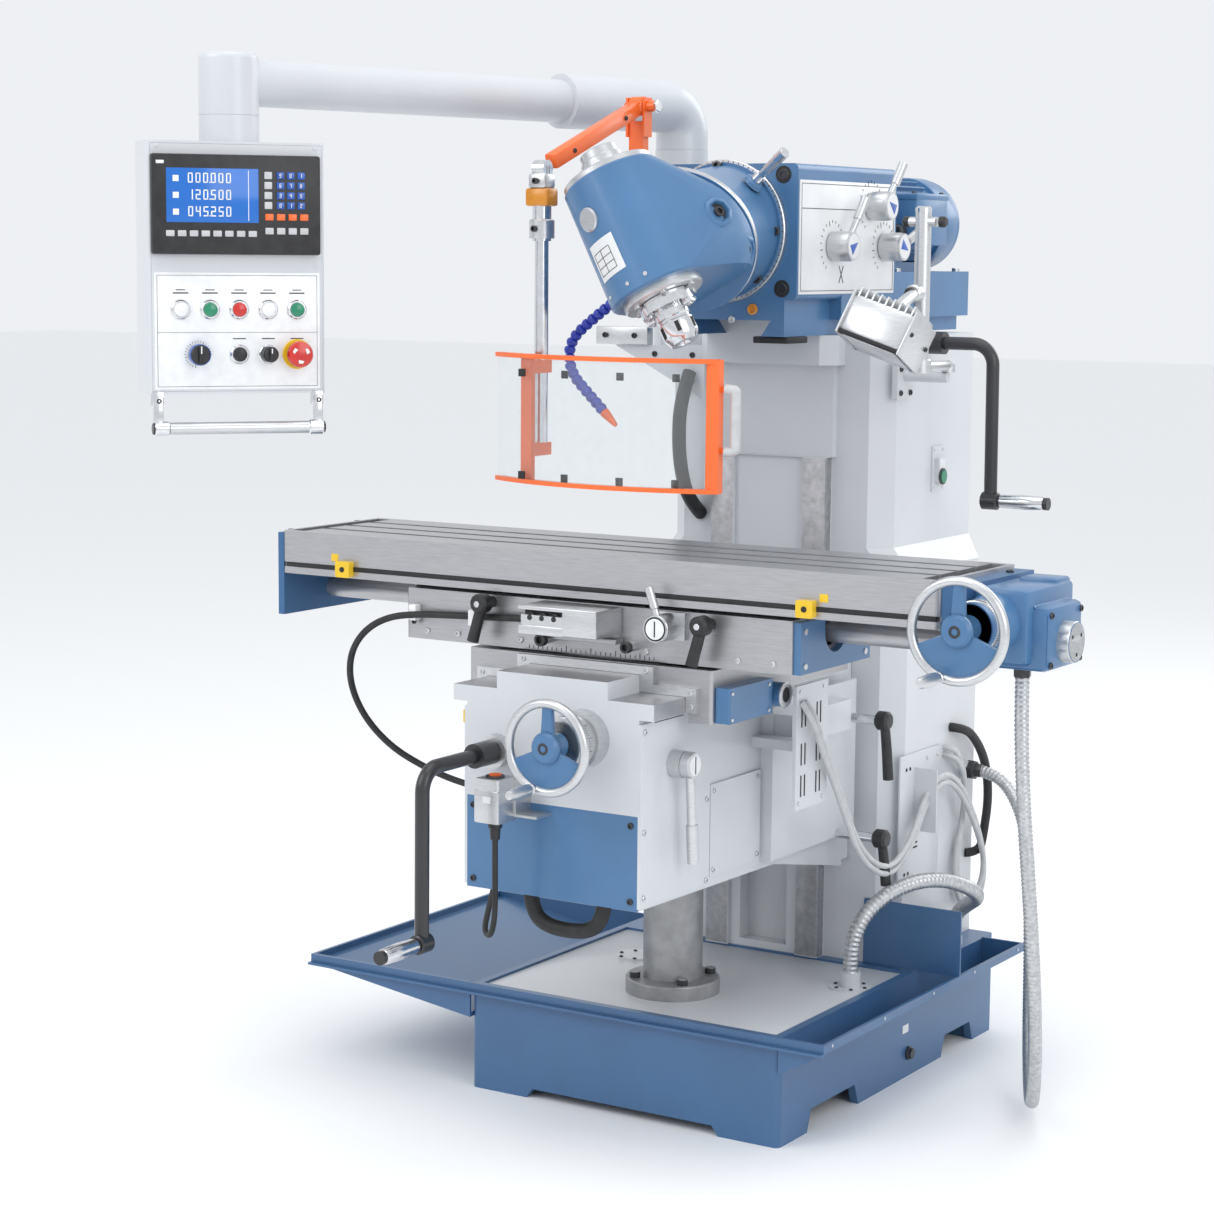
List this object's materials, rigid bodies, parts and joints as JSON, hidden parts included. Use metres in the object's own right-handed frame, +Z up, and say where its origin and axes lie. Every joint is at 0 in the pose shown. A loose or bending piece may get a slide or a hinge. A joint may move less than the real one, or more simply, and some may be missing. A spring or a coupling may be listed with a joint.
{
  "type": "vertical milling machine",
  "caption": "Universal knee milling machine with a tilting vertical head on a sliding ram, T-slot table, swinging control pendant, chip guard, work lamp and chip tray base.",
  "frame": {"origin": "on the floor, centre of the base casting's four foundation bolts at the feet's underside", "axes": "+Z up, +X along the table to the right of the operator, -Y towards the operator, +Y towards the column"},
  "size_m": [1.3831, 1.4953, 1.6806],
  "materials": {
    "blue_paint_dark": "satin",
    "blue_paint": "satin",
    "grey_paint": "satin",
    "bare_iron": "machined",
    "ground_steel": "ground",
    "bright_steel": "polished",
    "machined_aluminium": "turned",
    "black_paint": "gloss",
    "black_plastic": "matt",
    "black_rubber": "matt",
    "green_plastic": "gloss",
    "orange_plastic": "gloss",
    "blue_plastic": "gloss",
    "red_plastic": "gloss",
    "yellow_paint": "satin",
    "orange_paint": "satin",
    "steel_hose": "corrugated",
    "clear_plastic": "clear"
  },
  "bodies": {
    "root": {"base_casting": "blue_paint_dark", "chip_trays": "blue_paint_dark", "column": "grey_paint", "column_fittings": "grey_paint", "lift_column": "bare_iron", "control_arm_post": "grey_paint", "drain_hose": "steel_hose"},
    "start_button": {"start_button": "green_plastic"},
    "knee": {"knee": "grey_paint", "knee_front_cover": "blue_paint", "knee_side_plates": "grey_paint", "lift_screw": "ground_steel", "knee_controls": "machined_aluminium"},
    "jog_button": {"jog_button": "orange_plastic"},
    "cross_handwheel": {"cross_handwheel": "machined_aluminium"},
    "lift_crank": {"lift_crank": "black_paint"},
    "knee_feed_lever": {"knee_feed_lever": "machined_aluminium"},
    "saddle": {"saddle": "ground_steel", "saddle_side_cover": "blue_paint", "way_wipers": "machined_aluminium"},
    "swivel_base": {"swivel_base": "ground_steel", "swivel_end_cover": "blue_paint", "feed_controls": "machined_aluminium", "table_cable": "black_rubber"},
    "feed_lever": {"feed_lever": "machined_aluminium"},
    "table_clamp_left": {"table_clamp_left": "black_plastic"},
    "table_clamp_right": {"table_clamp_right": "black_plastic"},
    "table": {"table": "ground_steel", "table_end_castings": "blue_paint", "table_screw": "bright_steel", "trip_dogs": "yellow_paint", "feed_conduit": "steel_hose"},
    "table_handwheel": {"table_handwheel": "machined_aluminium"},
    "ram": {"ram": "blue_paint", "motor": "blue_paint", "guard_post": "orange_paint"},
    "speed_knob_top": {"speed_knob_top": "machined_aluminium"},
    "speed_knob_left": {"speed_knob_left": "machined_aluminium"},
    "speed_knob_right": {"speed_knob_right": "machined_aluminium"},
    "swivel_housing": {"swivel_housing": "blue_paint"},
    "shift_lever": {"shift_lever": "bright_steel"},
    "head": {"head_casting": "blue_paint", "head_cap_and_flange": "machined_aluminium"},
    "spindle": {"spindle": "bright_steel", "collet_chuck": "bright_steel"},
    "ram_crank": {"ram_crank": "black_paint"},
    "control_arm": {"control_arm": "grey_paint"},
    "pendant": {"pendant_box": "grey_paint", "control_panel": "grey_paint", "pendant_handle": "machined_aluminium"},
    "push_buttons": {"push_buttons": "green_plastic"},
    "speed_dial": {"speed_dial": "blue_plastic"},
    "mode_selector": {"mode_selector": "black_plastic"},
    "emergency_stop": {"emergency_stop": "red_plastic"},
    "guard_arm": {"guard_arm": "orange_paint"},
    "guard": {"guard_pole": "bright_steel", "guard_frame": "orange_paint", "guard_panes": "clear_plastic"},
    "lamp_arm": {"lamp_arm": "machined_aluminium"},
    "work_lamp": {"work_lamp": "machined_aluminium"}
  },
  "joints": [
    {"name": "start_press", "type": "slide", "parent": "root", "child": "start_button", "axis": [-1, 0, 0], "range_m": [0, 0.003], "stiffness_N_per_m": 900},
    {"name": "knee_lift", "type": "slide", "parent": "root", "child": "knee", "axis": [0, 0, 1], "range_m": [-0.15, 0.08], "deforming": ["feed_conduit"]},
    {"name": "jog_press", "type": "slide", "parent": "knee", "child": "jog_button", "axis": [0, 0, -1], "range_m": [0, 0.004], "stiffness_N_per_m": 900},
    {"name": "cross_handwheel_turn", "type": "hinge", "parent": "knee", "child": "cross_handwheel", "pos_m": [0.06, -0.709, 0.655], "axis": [0, 1, 0], "continuous": true},
    {"name": "lift_crank_turn", "type": "hinge", "parent": "knee", "child": "lift_crank", "pos_m": [-0.098, -0.7, 0.62], "axis": [0, 1, 0], "continuous": true},
    {"name": "knee_feed_turn", "type": "hinge", "parent": "knee", "child": "knee_feed_lever", "pos_m": [0.205, -0.513, 0.613], "axis": [1, 0, 0], "range_deg": [-30, 30]},
    {"name": "saddle_cross", "type": "slide", "parent": "knee", "child": "saddle", "axis": [0, 1, 0], "range_m": [-0.1, 0.15], "deforming": ["feed_conduit", "table_cable"]},
    {"name": "table_swivel", "type": "hinge", "parent": "saddle", "child": "swivel_base", "pos_m": [0, -0.378, 0.768], "axis": [0, 0, 1], "range_deg": [-30, 30], "deforming": ["feed_conduit", "table_cable"]},
    {"name": "feed_lever_turn", "type": "hinge", "parent": "swivel_base", "child": "feed_lever", "pos_m": [0.145, -0.53, 0.82], "axis": [0, 1, 0], "range_deg": [-30, 25]},
    {"name": "clamp_left_turn", "type": "hinge", "parent": "swivel_base", "child": "table_clamp_left", "pos_m": [-0.185, -0.5, 0.832], "axis": [0, 1, 0], "range_deg": [-40, 40]},
    {"name": "clamp_right_turn", "type": "hinge", "parent": "swivel_base", "child": "table_clamp_right", "pos_m": [0.213, -0.5, 0.828], "axis": [0, 1, 0], "range_deg": [-40, 40]},
    {"name": "table_long", "type": "slide", "parent": "swivel_base", "child": "table", "axis": [1, 0, 0], "range_m": [-0.21, 0.21], "deforming": ["feed_conduit"]},
    {"name": "table_handwheel_turn", "type": "hinge", "parent": "table", "child": "table_handwheel", "pos_m": [0.655, -0.578, 0.862], "axis": [0, 1, 0], "continuous": true},
    {"name": "ram_slide", "type": "slide", "parent": "root", "child": "ram", "axis": [0, 1, 0], "range_m": [-0.2, 0.05]},
    {"name": "speed_knob_top_turn", "type": "hinge", "parent": "ram", "child": "speed_knob_top", "pos_m": [0.16, 0.158, 1.46], "axis": [1, 0, 0], "range_deg": [-20, 20]},
    {"name": "speed_knob_left_turn", "type": "hinge", "parent": "ram", "child": "speed_knob_left", "pos_m": [0.16, 0.02, 1.392], "axis": [1, 0, 0], "range_deg": [-20, 20]},
    {"name": "speed_knob_right_turn", "type": "hinge", "parent": "ram", "child": "speed_knob_right", "pos_m": [0.16, 0.208, 1.392], "axis": [1, 0, 0], "range_deg": [-20, 20]},
    {"name": "head_tilt", "type": "hinge", "parent": "ram", "child": "swivel_housing", "pos_m": [0, -0.11, 1.415], "axis": [0, 1, 0], "range_deg": [-60, 60]},
    {"name": "shift_lever_turn", "type": "hinge", "parent": "swivel_housing", "child": "shift_lever", "pos_m": [0.087, -0.151, 1.496], "axis": [0.7326, 0, 0.6806], "range_deg": [-20, 20]},
    {"name": "head_turn", "type": "hinge", "parent": "swivel_housing", "child": "head", "pos_m": [0.01115, -0.264, 1.39488], "axis": [0.2424, -0.866, -0.4373], "range_deg": [-8, 12]},
    {"name": "spindle_turn", "type": "hinge", "parent": "head", "child": "spindle", "pos_m": [0, -0.383, 1.415], "axis": [-0.4848, 0, 0.8746], "continuous": true},
    {"name": "ram_crank_turn", "type": "hinge", "parent": "root", "child": "ram_crank", "pos_m": [0.26, 0.205, 1.232], "axis": [1, 0, 0], "continuous": true},
    {"name": "control_arm_turn", "type": "hinge", "parent": "root", "child": "control_arm", "pos_m": [-0.266, 0.21, 1.56], "axis": [0, 0, 1], "range_deg": [-60, 10]},
    {"name": "pendant_turn", "type": "hinge", "parent": "control_arm", "child": "pendant", "pos_m": [-0.51, -0.737, 1.58], "axis": [0, 0, 1], "range_deg": [-60, 60]},
    {"name": "push_buttons_press", "type": "slide", "parent": "pendant", "child": "push_buttons", "axis": [-0.7912, 0.6115, 0], "range_m": [0, 0.004], "stiffness_N_per_m": 900},
    {"name": "speed_dial_turn", "type": "hinge", "parent": "pendant", "child": "speed_dial", "pos_m": [-0.50835, -0.81663, 1.22], "axis": [0.7912, -0.6115, 0], "range_deg": [-135, 135]},
    {"name": "mode_selector_turn", "type": "hinge", "parent": "pendant", "child": "mode_selector", "pos_m": [-0.4417, -0.73039, 1.22], "axis": [0.7912, -0.6115, 0], "range_deg": [-45, 45]},
    {"name": "emergency_stop_press", "type": "slide", "parent": "pendant", "child": "emergency_stop", "axis": [-0.7912, 0.6115, 0], "range_m": [0, 0.005], "stiffness_N_per_m": 900},
    {"name": "guard_lift", "type": "hinge", "parent": "ram", "child": "guard_arm", "pos_m": [-0.152, -0.122, 1.618], "axis": [1, 0, 0], "range_deg": [-25, 0]},
    {"name": "guard_swing", "type": "hinge", "parent": "guard_arm", "child": "guard", "pos_m": [-0.155, -0.405, 1.4], "axis": [0, 0, 1], "range_deg": [-80, 3]},
    {"name": "lamp_arm_turn", "type": "hinge", "parent": "root", "child": "lamp_arm", "pos_m": [0.3, 0.13, 1.19], "axis": [0, 0, 1], "range_deg": [-20, 30]},
    {"name": "lamp_turn", "type": "hinge", "parent": "lamp_arm", "child": "work_lamp", "pos_m": [0.306, -0.02, 1.318], "axis": [0, 1, 0], "range_deg": [-20, 20]}
  ]
}
